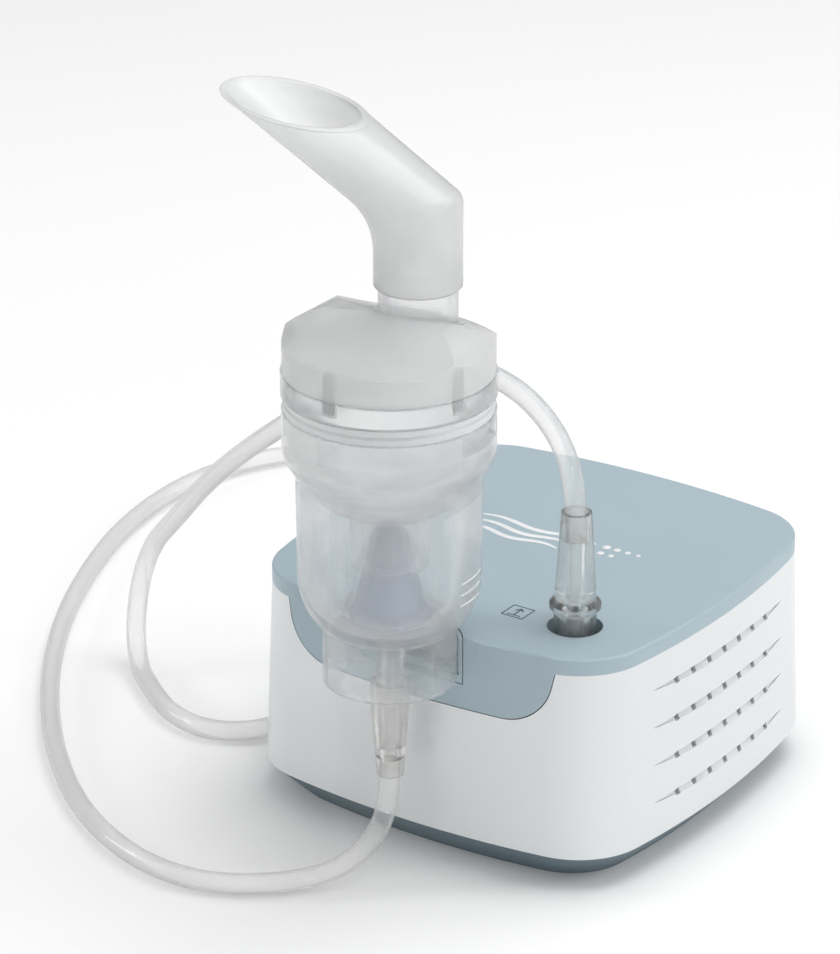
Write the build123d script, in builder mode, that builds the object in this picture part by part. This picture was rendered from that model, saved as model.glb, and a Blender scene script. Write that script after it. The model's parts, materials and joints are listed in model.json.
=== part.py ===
from build123d import *
from math import asin, atan2, cos, degrees, hypot, pi, radians, sin, sqrt, tan
import os

# A tabletop compressor nebulizer: a square-bodied air compressor, a medicine cup that stands in a
# cradle at its front, a swivelling mouthpiece on the cup's chimney, and the air tube between them.
# Millimetres. +Z up, front -Y, right +X. Origin: centre of the compressor's footprint on the table.

# ---- compressor casing
HALF_WIDTH = 64.0          # middle of a side, at the top
SIDE_RADIUS = 270.0        # bow of each side
CORNER_RADIUS = 21.5
TRAY_TOP = 9.9
TRAY_FOOT_SCALE = 0.89
SHELL_TOP = 65.85
COVER_TOP = 70.6
SHELL_FLARE = 0.03         # how much wider the shell is at its foot
WALL = 2.2
FIT_GAP = 0.3

# ---- apron of the top cover, seen from the front
APRON_BOTTOM = 49.4
APRON_HALF_TOP = 45.7
APRON_HALF_BOTTOM = 41.4
APRON_CORNER = 15.0

# ---- vents
VENT_ROWS = (55.6, 44.0, 32.4, 20.8)
VENT_HALF_LENGTH = 36.0
VENT_RISE = 0.8
VENT_DROP = 2.2
VENT_DEPTH = 1.0
VENT_SLOTS = 7
VENT_PITCH = 8.25
VENT_SLOT_WIDTH = 2.0
VENT_SLOT_HEIGHT = 2.2
VENT_SLOT_DROP = 0.5
VENT_MARGIN = 0.15         # how far a groove's cutter reaches past its outline

# ---- air outlet on the top
OUTLET_X = 38.0
OUTLET_Y = -39.0
OUTLET_HOLE = 7.9
OUTLET_COLLAR_BOTTOM = 60.0
NOZZLE_RADIUS = 2.6
NOZZLE_TOP = 74.0

# ---- medicine cup
CUP_Y = -74.8
SKIRT_RADIUS = 18.73
SKIRT_BOTTOM = 59.25
CRADLE_RADIUS = 20.3
CRADLE_FLOOR = 56.5
FLANGE_RADIUS = 29.3
FLANGE_TOP = 140.1
SPIGOT_RADIUS = 27.7
FIT = 0.08                 # radial clearance of a running fit
HOUSING_RADIUS = 29.5
HOUSING_BOTTOM = 144.9
HOUSING_TOP = 151.05
CAP_RADIUS = 29.0
CAP_PEAK = 166.2
CAP_FRONT = 160.0
CLIP_ANGLES = (-165, -90, -15)
LUG_ANGLES = (25, 205)
CHIMNEY_Y = -60.8
CHIMNEY_RADIUS = 11.0
CHIMNEY_TOP = 176.9

# ---- mouthpiece
SLEEVE_RADIUS = 12.2
SLEEVE_BOTTOM = 170.9
BEND_LOW = 189.0           # inside of the bend
BEND_HIGH = 197.5          # outside of the bend
RIM_X = -41.0
RIM_Z = 215.0
RIM_HALF_LENGTH = 22.0
RIM_HALF_WIDTH = 15.0
RIM_TILT = 6.0
MOUTH_WALL = 1.2

# ---- drive inside the compressor
SHAFT_Y = 14.0
SHAFT_Z = 36.0
SHAFT_RADIUS = 2.5
CRANK_THROW = 2.5
PISTON_X = 29.0
BORE_RADIUS = 8.5

# ---- air tube
TUBE_RADIUS = 3.0
TUBE_ROUTE = [
    (38, -39, 97), (38, -39, 112), (30.5, -37.5, 127.5), (13.5, -36.3, 138.3), (-13, -36, 139.5),
    (-45, -35, 120.5), (-76, -31, 97), (-102, -22, 74.5), (-122, -12, 53.5), (-136, -5.5, 39.5),
    (-142, -4.5, 25.5), (-140.5, -10, 12), (-132.5, -19, 3.2), (-118, -30.5, 3.2), (-105, -39, 3.2),
    (-91, -42, 3.2), (-79.5, -37, 3.2), (-73, -26.5, 3.2), (-72.5, -9, 3.2), (-73, 16, 3.2),
    (-76, 44, 3.2), (-80, 74, 3.2), (-87, 105, 3.2), (-101, 134, 3.2), (-125, 155, 3.2),
    (-155, 163, 3.2), (-183, 154, 3.2), (-200.5, 130, 3.2), (-206.5, 98, 3.2), (-201.5, 62, 3.2),
    (-189, 27, 3.2), (-172, -8, 3.2), (-149, -43, 3.2), (-121, -76, 3.2), (-90, -103, 3.2),
    (-59, -118, 3.2), (-34, -119, 3.2), (-15, -107, 3.2), (-4, -93, 5), (0, -81, 12),
    (0, -74.8, 22), (0, -74.8, 34),
]

CUP_AXIS = Axis((0, CUP_Y, 0), (0, 0, 1))
CORNER_REACH = SIDE_RADIUS - CORNER_RADIUS
SIDE_OFFSET = SIDE_RADIUS - HALF_WIDTH
CORNER_CENTRE = (sqrt(2 * CORNER_REACH**2 - SIDE_OFFSET**2) - SIDE_OFFSET) / 2
CORNER_LEAN = degrees(asin(CORNER_CENTRE / CORNER_REACH))

os.makedirs("parts", exist_ok=True)


def save(piece, name):
    """Label one finished piece and write it under its own name."""
    piece.part.label = name
    export_step(piece.part, f"parts/{name}.step")


def turned(x, y, quarter):
    """A point turned by so many quarter turns about Z."""
    for _ in range(quarter):
        x, y = -y, x
    return (x, y)


def bulged_square(z, scale=1.0, inset=0.0):
    """The casing's outline at a height: a square with bowed sides and round corners."""
    corner_sweep = 90 - 2 * CORNER_LEAN
    with BuildSketch(Plane.XY.offset(z)) as outline:
        with BuildLine():
            for quarter in range(4):
                side_centre = turned(-SIDE_OFFSET * scale, 0, quarter)
                corner_centre = turned(CORNER_CENTRE * scale, CORNER_CENTRE * scale, quarter)
                start = 90 * quarter
                CenterArc(side_centre, SIDE_RADIUS * scale - inset, start - CORNER_LEAN, 2 * CORNER_LEAN)
                CenterArc(corner_centre, CORNER_RADIUS * scale - inset, start + CORNER_LEAN, corner_sweep)
        make_face()
    return outline.sketch


def flare(z):
    """Scale of the casing's outline at a height: it widens towards the foot."""
    return 1 + SHELL_FLARE * (SHELL_TOP - z) / (SHELL_TOP - TRAY_TOP)


def drafted_block(low, high, inset=0.0, mode=Mode.ADD):
    """Add a block with the casing's outline and draft between two heights."""
    foot = bulged_square(low, flare(low), inset)
    head = bulged_square(high, flare(high), inset)
    loft([foot, head], ruled=True, mode=mode)


def straight_block(low, high, scale=1.0, inset=0.0, mode=Mode.ADD):
    """Add a block with the casing's outline and upright sides between two heights."""
    extrude(bulged_square(low, scale, inset), amount=high - low, mode=mode)


def apron_outline(gap=0.0):
    """The apron's outline on the front plane."""
    with BuildSketch(Plane.XZ) as outline:
        with BuildLine():
            Polyline(
                (-APRON_HALF_TOP - gap, COVER_TOP),
                (-APRON_HALF_BOTTOM - gap, APRON_BOTTOM - gap),
                (APRON_HALF_BOTTOM + gap, APRON_BOTTOM - gap),
                (APRON_HALF_TOP + gap, COVER_TOP),
                close=True,
            )
        make_face()
        fillet(outline.vertices().sort_by(Axis.Y)[0:2], APRON_CORNER + gap)
    return outline.sketch


def cylinder_at(x, y, low, high, radius, mode=Mode.ADD):
    """Add an upright cylinder between two heights."""
    with BuildSketch(Plane.XY.offset(low)) as disc:
        with Locations((x, y)):
            Circle(radius)
    extrude(disc.sketch, amount=high - low, mode=mode)


def box_between(low_corner, high_corner, mode=Mode.ADD):
    """Add a box given by its lowest and highest corners."""
    size = [high - low for low, high in zip(low_corner, high_corner)]
    middle = [(high + low) / 2 for low, high in zip(low_corner, high_corner)]
    with Locations(tuple(middle)):
        Box(*size, mode=mode)


def rod_along_x(y, z, start, end, radius, mode=Mode.ADD):
    """Add a cylinder that lies along X."""
    with BuildSketch(Plane.YZ.offset(start)) as disc:
        with Locations((y, z)):
            Circle(radius)
    extrude(disc.sketch, amount=end - start, mode=mode)


def rod_along_y(x, z, start, end, radius, mode=Mode.ADD):
    """Add a cylinder that lies along Y, from the lower y to the higher one."""
    with BuildSketch(Plane.XZ.offset(-end)) as disc:
        with Locations((x, z)):
            Circle(radius)
    extrude(disc.sketch, amount=end - start, mode=mode)


def turned_about(x, y, outline, mode=Mode.ADD):
    """Revolve a closed outline of (radius, height) points about an upright axis."""
    plane = Plane(origin=(x, y, 0), x_dir=(1, 0, 0), z_dir=(0, -1, 0))
    with BuildSketch(plane) as section:
        with BuildLine():
            Polyline(*outline, close=True)
        make_face()
    revolve(section.sketch, axis=Axis((x, y, 0), (0, 0, 1)), mode=mode)


def corner_radii(route, share=0.45):
    """Radius of the arc at each inner point of a route: the shorter run's share over the turn."""
    points = [Vector(*point) for point in route]
    radii = []
    for before, here, after in zip(points, points[1:], points[2:]):
        run_in = here - before
        run_out = after - here
        half_turn = radians(run_in.get_angle(run_out)) / 2
        radii.append(share * min(run_in.length, run_out.length) / tan(half_turn))
    return radii


def add_tube(route, radius):
    """Sweep a round section along straight runs joined by tangent arcs; returns the path's length."""
    with BuildLine() as centre_line:
        FilletPolyline(*route, radius=corner_radii(route))
    path = centre_line.wire()
    with BuildSketch(Plane(path @ 0, z_dir=path % 0)) as section:
        Circle(radius)
    sweep(section.sketch, path=path)
    return path.length


# =============================================================== compressor casing
FEET = [(x, y) for x in (-36, 36) for y in (-36, 36)]
BOSS_REACH = 45.0
BOSSES = [(x, y) for x in (-BOSS_REACH, BOSS_REACH) for y in (-BOSS_REACH, BOSS_REACH)]
RIB_REACH = 50.2
RIB_LENGTH = 14.0
RIB_WIDTH = 1.6
TRAY_FLOOR = 3.4
FOOT_RADIUS = 6.5
FOOT_TOP = 2.4
BOSS_RADIUS = 4.5
BOSS_BOTTOM = 10.2
BOSS_TOP = 26.0
SCREW_RADIUS = 1.5
SCREW_HEAD = 2.8
HEAD_SEAT = 5.0

with BuildPart() as base_tray:
    loft([bulged_square(0, TRAY_FOOT_SCALE), bulged_square(TRAY_TOP, flare(TRAY_TOP))], ruled=True)
    straight_block(TRAY_FLOOR, TRAY_TOP, TRAY_FOOT_SCALE, inset=0.5, mode=Mode.SUBTRACT)
    for x, y in BOSSES:
        cylinder_at(x, y, 2, TRAY_TOP, BOSS_RADIUS)
    for x, y in BOSSES:
        cylinder_at(x, y, 0, TRAY_TOP, SCREW_RADIUS + 0.1, mode=Mode.SUBTRACT)
        cylinder_at(x, y, 0, HEAD_SEAT, SCREW_HEAD + 0.2, mode=Mode.SUBTRACT)
    for x, y in FEET:
        cylinder_at(x, y, 0, FOOT_TOP, FOOT_RADIUS + 0.1, mode=Mode.SUBTRACT)
save(base_tray, "base_tray")

with BuildPart() as rubber_feet:
    for x, y in FEET:
        cylinder_at(x, y, 0, FOOT_TOP, FOOT_RADIUS)
    chamfer(rubber_feet.edges().group_by(Axis.Z)[0], 0.5)
save(rubber_feet, "rubber_feet")

with BuildPart() as tray_screws:
    for x, y in BOSSES:
        cylinder_at(x, y, HEAD_SEAT - 1.8, HEAD_SEAT, SCREW_HEAD)
        cylinder_at(x, y, HEAD_SEAT, 22, SCREW_RADIUS)
    for x, y in BOSSES:
        for half_x, half_y in ((2, 0.35), (0.35, 2)):
            recess_low = (x - half_x, y - half_y, HEAD_SEAT - 1.8)
            recess_high = (x + half_x, y + half_y, HEAD_SEAT - 1.0)
            box_between(recess_low, recess_high, mode=Mode.SUBTRACT)
save(tray_screws, "tray_screws")


def vent_outline(z):
    """A vent's long pointed outline on the side plane, at a height."""
    with BuildSketch(Plane.YZ) as outline:
        with BuildLine():
            ThreePointArc((-VENT_HALF_LENGTH, z), (0, z + VENT_RISE), (VENT_HALF_LENGTH, z))
            ThreePointArc((-VENT_HALF_LENGTH, z), (0, z - VENT_DROP), (VENT_HALF_LENGTH, z))
        make_face()
    return outline.sketch


with BuildPart() as vent_prisms:
    for row in VENT_ROWS:
        extrude(vent_outline(row), amount=80, both=True)

# each vent is a wedge, deepest under its upper edge, that runs out to nothing at its lower one
with BuildPart() as vent_grooves:
    for row in VENT_ROWS:
        drafted_block(row - VENT_DROP, row + VENT_RISE, inset=-1)
    for row in VENT_ROWS:
        low = row - VENT_DROP - VENT_MARGIN
        high = row + VENT_RISE + VENT_MARGIN
        foot = bulged_square(low, flare(low), -VENT_MARGIN)
        head = bulged_square(high, flare(high), VENT_DEPTH)
        loft([foot, head], ruled=True, mode=Mode.SUBTRACT)
    add(vent_prisms.part, mode=Mode.INTERSECT)

with BuildPart() as apron_notch:
    extrude(apron_outline(gap=FIT_GAP), amount=90)

# fittings on the back wall
INLET_X = -28.0
SWITCH_X = 2.0
FILTER_X = 35.0
BACK_Z = 36.0
INLET_SIZE = (22.0, 13.0)
SWITCH_SIZE = (19.0, 13.0)
FILTER_RADIUS = 9.5

with BuildPart() as body_shell:
    drafted_block(TRAY_TOP, SHELL_TOP)
    drafted_block(TRAY_TOP, SHELL_TOP, inset=WALL, mode=Mode.SUBTRACT)
    with BuildSketch(Plane.XY.offset(BOSS_BOTTOM)):
        with PolarLocations(RIB_REACH * sqrt(2), 4, start_angle=45):
            Rectangle(RIB_LENGTH, RIB_WIDTH)
    extrude(amount=BOSS_TOP - BOSS_BOTTOM)
    for x, y in BOSSES:
        cylinder_at(x, y, BOSS_BOTTOM, BOSS_TOP, BOSS_RADIUS)
    for x, y in BOSSES:
        cylinder_at(x, y, BOSS_BOTTOM, 24, SCREW_RADIUS, mode=Mode.SUBTRACT)
    add(vent_grooves.part, mode=Mode.SUBTRACT)
    for row in VENT_ROWS:
        with BuildSketch(Plane.YZ):
            with Locations((0, row - VENT_SLOT_DROP)):
                with GridLocations(VENT_PITCH, 1, VENT_SLOTS, 1):
                    Rectangle(VENT_SLOT_WIDTH, VENT_SLOT_HEIGHT)
        extrude(amount=80, both=True, mode=Mode.SUBTRACT)
    add(apron_notch.part, mode=Mode.SUBTRACT)
    with BuildSketch(Plane.XZ.offset(-40)):
        with Locations((INLET_X, BACK_Z)):
            Rectangle(INLET_SIZE[0] + 0.4, INLET_SIZE[1] + 0.4)
        with Locations((SWITCH_X, BACK_Z)):
            Rectangle(SWITCH_SIZE[0] + 0.4, SWITCH_SIZE[1] + 0.4)
        with Locations((FILTER_X, BACK_Z)):
            Circle(FILTER_RADIUS + 0.2)
    extrude(amount=-40, mode=Mode.SUBTRACT)
save(body_shell, "body_shell")

# the apron: a skin-thick shield that hangs from the cover at the front
with BuildPart() as apron_shield:
    drafted_block(APRON_BOTTOM - 1, SHELL_TOP)
    drafted_block(APRON_BOTTOM - 1, SHELL_TOP, inset=WALL, mode=Mode.SUBTRACT)
    extrude(apron_outline(), amount=90, mode=Mode.INTERSECT)

# the block behind the apron that the cup's cradle is hollowed out of
POCKET_WALL = 2.0
with BuildPart() as cradle_block:
    cylinder_at(0, CUP_Y, CRADLE_FLOOR - POCKET_WALL, COVER_TOP - 1, CRADLE_RADIUS + POCKET_WALL)
    drafted_block(CRADLE_FLOOR - POCKET_WALL - 1, COVER_TOP, inset=0.6, mode=Mode.INTERSECT)

# the rib under the cover that locates it inside the shell
LIP_HEIGHT = 3.2
with BuildPart() as locating_lip:
    straight_block(SHELL_TOP - LIP_HEIGHT, SHELL_TOP + 1, inset=WALL + FIT_GAP)
    straight_block(SHELL_TOP - LIP_HEIGHT, SHELL_TOP + 1, inset=WALL + FIT_GAP + 1.6, mode=Mode.SUBTRACT)

with BuildPart() as top_cover:
    straight_block(SHELL_TOP, COVER_TOP)
    fillet(top_cover.edges().group_by(Axis.Z)[-1], 0.8)
    straight_block(SHELL_TOP, SHELL_TOP + 2.3, inset=WALL + 2.0, mode=Mode.SUBTRACT)
    add(locating_lip.part)
    add(apron_shield.part)
    add(cradle_block.part)
    cylinder_at(OUTLET_X, OUTLET_Y, OUTLET_COLLAR_BOTTOM, COVER_TOP - 1, OUTLET_HOLE + 1.6)
    cylinder_at(0, CUP_Y, CRADLE_FLOOR, COVER_TOP, CRADLE_RADIUS, mode=Mode.SUBTRACT)
    cylinder_at(OUTLET_X, OUTLET_Y, OUTLET_COLLAR_BOTTOM, COVER_TOP, OUTLET_HOLE, mode=Mode.SUBTRACT)
save(top_cover, "top_cover")

CRADLE_CLIP_GAP = 0.2
with BuildPart() as cup_cradle:
    cylinder_at(0, CUP_Y, CRADLE_FLOOR + CRADLE_CLIP_GAP, COVER_TOP - 0.3, CRADLE_RADIUS - CRADLE_CLIP_GAP)
    cylinder_at(0, CUP_Y, SKIRT_BOTTOM - FIT_GAP, COVER_TOP, SKIRT_RADIUS + FIT_GAP, mode=Mode.SUBTRACT)
    cylinder_at(0, CUP_Y, CRADLE_FLOOR, COVER_TOP, 14.0, mode=Mode.SUBTRACT)
    drafted_block(CRADLE_FLOOR, COVER_TOP, inset=0.1, mode=Mode.INTERSECT)
save(cup_cradle, "cup_cradle")

# =============================================================== air outlet
with BuildPart() as outlet_nozzle:
    turned_about(
        OUTLET_X,
        OUTLET_Y,
        [
            (1.5, 54), (NOZZLE_RADIUS, 54), (NOZZLE_RADIUS, 57.8), (8.5, 57.8), (8.5, 59.8),
            (NOZZLE_RADIUS, 59.8), (NOZZLE_RADIUS, 71.5), (2.1, NOZZLE_TOP), (1.5, NOZZLE_TOP),
        ],
    )
save(outlet_nozzle, "outlet_nozzle")

with BuildPart() as outlet_seal:
    cylinder_at(OUTLET_X, OUTLET_Y, 59.9, 61.8, OUTLET_HOLE - 0.1)
    cylinder_at(OUTLET_X, OUTLET_Y, 59, 62, NOZZLE_RADIUS + 0.05, mode=Mode.SUBTRACT)
save(outlet_seal, "outlet_seal")

# =============================================================== back wall fittings
INLET_BACK = 46.0
INLET_FACE = 63.8
SOCKET_DEPTH = 12.0
SOCKET_HEIGHT = 9.0
PIN_OFFSET = 4.3
PIN_RADIUS = 1.18
with BuildPart() as power_inlet:
    box_between(
        (INLET_X - INLET_SIZE[0] / 2, INLET_BACK, BACK_Z - INLET_SIZE[1] / 2),
        (INLET_X + INLET_SIZE[0] / 2, INLET_FACE, BACK_Z + INLET_SIZE[1] / 2),
    )
    fillet(power_inlet.edges().filter_by(Axis.Y), 1.5)
    with BuildSketch(Plane.XZ.offset(-INLET_FACE)):
        with Locations((INLET_X, BACK_Z)):
            SlotCenterToCenter(2 * PIN_OFFSET, SOCKET_HEIGHT)
    extrude(amount=SOCKET_DEPTH, mode=Mode.SUBTRACT)
save(power_inlet, "power_inlet")

with BuildPart() as inlet_pins:
    for side in (-PIN_OFFSET, PIN_OFFSET):
        rod_along_y(INLET_X + side, BACK_Z, INLET_FACE - SOCKET_DEPTH, INLET_FACE - 2, PIN_RADIUS)
save(inlet_pins, "inlet_pins")

ROCKER_Y = 64.2
ROCKER_LEAN = 7.0
AXLE_RADIUS = 1.2
with BuildPart() as switch_housing:
    box_between(
        (SWITCH_X - SWITCH_SIZE[0] / 2, 50, BACK_Z - SWITCH_SIZE[1] / 2),
        (SWITCH_X + SWITCH_SIZE[0] / 2, 66.6, BACK_Z + SWITCH_SIZE[1] / 2),
    )
    box_between(
        (SWITCH_X - SWITCH_SIZE[0] / 2 - 1.2, 65.6, BACK_Z - SWITCH_SIZE[1] / 2 - 1.2),
        (SWITCH_X + SWITCH_SIZE[0] / 2 + 1.2, 66.6, BACK_Z + SWITCH_SIZE[1] / 2 + 1.2),
    )
    box_between((SWITCH_X - 8.3, 57.5, BACK_Z - 5.5), (SWITCH_X + 8.3, 67, BACK_Z + 5.5), mode=Mode.SUBTRACT)
    rod_along_x(ROCKER_Y, BACK_Z, SWITCH_X - 9.1, SWITCH_X + 9.1, AXLE_RADIUS + 0.05, mode=Mode.SUBTRACT)
save(switch_housing, "switch_housing")

with BuildPart() as switch_rocker:
    with BuildSketch(Plane.YZ.offset(SWITCH_X - 8)):
        with Locations((ROCKER_Y, BACK_Z)):
            with Locations(Rotation(0, 0, ROCKER_LEAN)):
                Polygon((-3, -4.2), (3.2, -4.2), (2.2, 0), (3.2, 4.2), (-3, 4.2), align=None)
    extrude(amount=16)
    rod_along_x(ROCKER_Y, BACK_Z, SWITCH_X - 9, SWITCH_X + 9, AXLE_RADIUS)
save(switch_rocker, "switch_rocker")

FILTER_BACK = 52.0
FILTER_FACE = 64.4
FILTER_NIPPLE_X = 35.0
with BuildPart() as filter_housing:
    rod_along_y(FILTER_X, BACK_Z, FILTER_BACK, FILTER_FACE, FILTER_RADIUS)
    rod_along_y(FILTER_X, BACK_Z, FILTER_BACK + 2, FILTER_FACE, FILTER_RADIUS - 1.2, mode=Mode.SUBTRACT)
    rod_along_y(FILTER_NIPPLE_X, BACK_Z, 47, FILTER_BACK, 2.2)
    rod_along_y(FILTER_NIPPLE_X, BACK_Z, 47, FILTER_BACK + 2, 1.3, mode=Mode.SUBTRACT)
save(filter_housing, "filter_housing")

with BuildPart() as filter_felt:
    rod_along_y(FILTER_X, BACK_Z, FILTER_BACK + 2.1, 58, FILTER_RADIUS - 1.3)
save(filter_felt, "filter_felt")

CAP_FACE = 66.4
with BuildPart() as filter_cap:
    rod_along_y(FILTER_X, BACK_Z, 58.4, FILTER_FACE + 0.3, FILTER_RADIUS - 1.3)
    rod_along_y(FILTER_X, BACK_Z, 58.4, 63, FILTER_RADIUS - 2.6, mode=Mode.SUBTRACT)
    rod_along_y(FILTER_X, BACK_Z, FILTER_FACE + 0.3, CAP_FACE, FILTER_RADIUS - 0.1)
    fillet(filter_cap.faces().sort_by(Axis.Y)[-1].edges(), 0.6)
    with BuildSketch(Plane.XZ.offset(-CAP_FACE)):
        with Locations((FILTER_X, BACK_Z)):
            with GridLocations(0, 9, 1, 2):
                with GridLocations(3.4, 1, 3, 1):
                    SlotOverall(2.4, 1.4)
    extrude(amount=8, mode=Mode.SUBTRACT)
    box_between((FILTER_X - 6, CAP_FACE - 0.5, BACK_Z - 1), (FILTER_X + 6, CAP_FACE + 1.6, BACK_Z + 1))
save(filter_cap, "filter_cap")

# =============================================================== motor
MOUNTS = [(x, y) for x in (-36, 36) for y in (-20, 34)]
BRACKET_Z = 10.0
PLATE = 2.0
UPRIGHTS = (-39.0, 14.0)
BEARING_RADIUS = 6.0
BEARING_WIDTH = 5.0
CORE_START = -24.0
CORE_END = 0.0
CORE_HALF = 24.0
ROTOR_RADIUS = 13.1
AIR_GAP = 0.3

with BuildPart() as motor_mounts:
    for x, y in MOUNTS:
        waisted = [(5, TRAY_FLOOR), (5, 5), (3.6, 6.7), (5, 8.4), (5, BRACKET_Z)]
        turned_about(x, y, [(0, TRAY_FLOOR), *waisted, (0, BRACKET_Z)])
save(motor_mounts, "motor_mounts")

with BuildPart() as motor_bracket:
    box_between((-42, -26, BRACKET_Z), (42, 40, BRACKET_Z + PLATE))
    fillet(motor_bracket.edges().filter_by(Axis.Z), 4)
    for start in UPRIGHTS:
        box_between((start, SHAFT_Y - 11, BRACKET_Z), (start + PLATE, SHAFT_Y + 11, SHAFT_Z + 10))
    for start in UPRIGHTS:
        rod_along_x(SHAFT_Y, SHAFT_Z, start - 1, start + 3, BEARING_RADIUS + 0.05, mode=Mode.SUBTRACT)
save(motor_bracket, "motor_bracket")

with BuildPart() as bearings:
    for start in UPRIGHTS:
        middle = start + PLATE / 2
        rod_along_x(SHAFT_Y, SHAFT_Z, middle - BEARING_WIDTH / 2, middle + BEARING_WIDTH / 2, BEARING_RADIUS)
    rod_along_x(SHAFT_Y, SHAFT_Z, -50, 50, SHAFT_RADIUS + 0.05, mode=Mode.SUBTRACT)
save(bearings, "bearings")

with BuildPart() as stator_core:
    box_between(
        (CORE_START, SHAFT_Y - CORE_HALF, SHAFT_Z - CORE_HALF),
        (CORE_END, SHAFT_Y + CORE_HALF, SHAFT_Z + CORE_HALF),
    )
    fillet(stator_core.edges().filter_by(Axis.X), 5)
    rod_along_x(SHAFT_Y, SHAFT_Z, CORE_START, CORE_END, ROTOR_RADIUS + AIR_GAP, mode=Mode.SUBTRACT)
    for z in (SHAFT_Z - CORE_HALF, SHAFT_Z + CORE_HALF):
        rod_along_x(SHAFT_Y, z, CORE_START, CORE_END, 2.5, mode=Mode.SUBTRACT)
save(stator_core, "stator_core")

COIL_LENGTH = 6.8
with BuildPart() as field_coil:
    for start in (CORE_START - COIL_LENGTH, CORE_END):
        rod_along_x(SHAFT_Y, SHAFT_Z, start, start + COIL_LENGTH, 21)
        rod_along_x(SHAFT_Y, SHAFT_Z, start, start + COIL_LENGTH, 14.5, mode=Mode.SUBTRACT)
    fillet(field_coil.edges().filter_by(GeomType.CIRCLE), 1.5)
save(field_coil, "field_coil")

with BuildPart() as thermal_cutout:
    box_between((-20, 8, SHAFT_Z + CORE_HALF), (-8, 20, SHAFT_Z + CORE_HALF + 4))
    fillet(thermal_cutout.edges().filter_by(Axis.Z), 1)
save(thermal_cutout, "thermal_cutout")

with BuildPart() as motor_shaft:
    rod_along_x(SHAFT_Y, SHAFT_Z, -49, 23, SHAFT_RADIUS)
    chamfer(motor_shaft.edges().filter_by(GeomType.CIRCLE), 0.3)
save(motor_shaft, "motor_shaft")

with BuildPart() as rotor_core:
    rod_along_x(SHAFT_Y, SHAFT_Z, CORE_START, CORE_END, ROTOR_RADIUS)
    rod_along_x(SHAFT_Y, SHAFT_Z, CORE_START, CORE_END, SHAFT_RADIUS, mode=Mode.SUBTRACT)
save(rotor_core, "rotor_core")

FAN_START = -48.0
FAN_WIDTH = 6.0
FAN_BLADES = 9
with BuildPart() as cooling_fan:
    rod_along_x(SHAFT_Y, SHAFT_Z, FAN_START, FAN_START + FAN_WIDTH, 6)
    rod_along_x(SHAFT_Y, SHAFT_Z, FAN_START + FAN_WIDTH - 1.2, FAN_START + FAN_WIDTH, 19)
    with BuildSketch(Plane.YZ.offset(FAN_START)):
        with Locations((SHAFT_Y, SHAFT_Z)):
            with PolarLocations(12, FAN_BLADES):
                Rectangle(14, 1.2)
    extrude(amount=FAN_WIDTH)
    rod_along_x(SHAFT_Y, SHAFT_Z, FAN_START, FAN_START + FAN_WIDTH, SHAFT_RADIUS, mode=Mode.SUBTRACT)
save(cooling_fan, "cooling_fan")

# =============================================================== pump
CRANK_START = 19.0
CRANK_END = 23.5
PIN_END = 33.0
EYE_HALF_WIDTH = 2.5
EYE_BORE = 7.8
PISTON_FRONT = -13.0
PISTON_BACK = -6.5
CYLINDER_FRONT = -16.2
CYLINDER_BACK = -2.0
HEAD_HALF = 12.5
SCREW_OFFSET = 10.3
GASKET_FRONT = -19.3
HEAD_FRONT = -28.0

with BuildPart() as eccentric_crank:
    rod_along_x(SHAFT_Y, SHAFT_Z, CRANK_START, CRANK_END, 8)
    rod_along_x(SHAFT_Y, SHAFT_Z, CRANK_START, 23, SHAFT_RADIUS, mode=Mode.SUBTRACT)
    rod_along_x(SHAFT_Y, SHAFT_Z + CRANK_THROW, CRANK_END, PIN_END, 2)
save(eccentric_crank, "eccentric_crank")

with BuildPart() as piston_rod:
    rod_along_x(SHAFT_Y, SHAFT_Z, PISTON_X - EYE_HALF_WIDTH, PISTON_X + EYE_HALF_WIDTH, EYE_BORE + 2.4)
    box_between((PISTON_X - 2, PISTON_BACK, SHAFT_Z - 2), (PISTON_X + 2, SHAFT_Y, SHAFT_Z + 2))
    rod_along_x(SHAFT_Y, SHAFT_Z, PISTON_X - 5, PISTON_X + 5, EYE_BORE, mode=Mode.SUBTRACT)
save(piston_rod, "piston_rod")

with BuildPart() as piston_cup:
    rod_along_y(PISTON_X, SHAFT_Z, PISTON_FRONT, PISTON_BACK, BORE_RADIUS - 0.06)
    rod_along_y(PISTON_X, SHAFT_Z, PISTON_FRONT, PISTON_FRONT + 1.5, 6, mode=Mode.SUBTRACT)
save(piston_cup, "piston_cup")


def pump_plate(front, back, centre_bore=0.0):
    """Add one square layer of the pump head with its four screw holes."""
    with BuildSketch(Plane.XZ.offset(-back)) as layer:
        with Locations((PISTON_X, SHAFT_Z)):
            RectangleRounded(2 * HEAD_HALF, 2 * HEAD_HALF, 2.5)
            with GridLocations(2 * SCREW_OFFSET, 2 * SCREW_OFFSET, 2, 2):
                Circle(SCREW_RADIUS + 0.1, mode=Mode.SUBTRACT)
            if centre_bore:
                Circle(centre_bore, mode=Mode.SUBTRACT)
    extrude(layer.sketch, amount=back - front)


with BuildPart() as cylinder:
    pump_plate(CYLINDER_FRONT, CYLINDER_FRONT + 3)
    rod_along_y(PISTON_X, SHAFT_Z, CYLINDER_FRONT, CYLINDER_BACK, BORE_RADIUS + 2.2)
    box_between((PISTON_X - 8, CYLINDER_FRONT + 3, BRACKET_Z + PLATE), (PISTON_X + 8, -4, SHAFT_Z - 6))
    rod_along_y(PISTON_X, SHAFT_Z, CYLINDER_FRONT, CYLINDER_BACK, BORE_RADIUS, mode=Mode.SUBTRACT)
save(cylinder, "cylinder")

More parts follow.
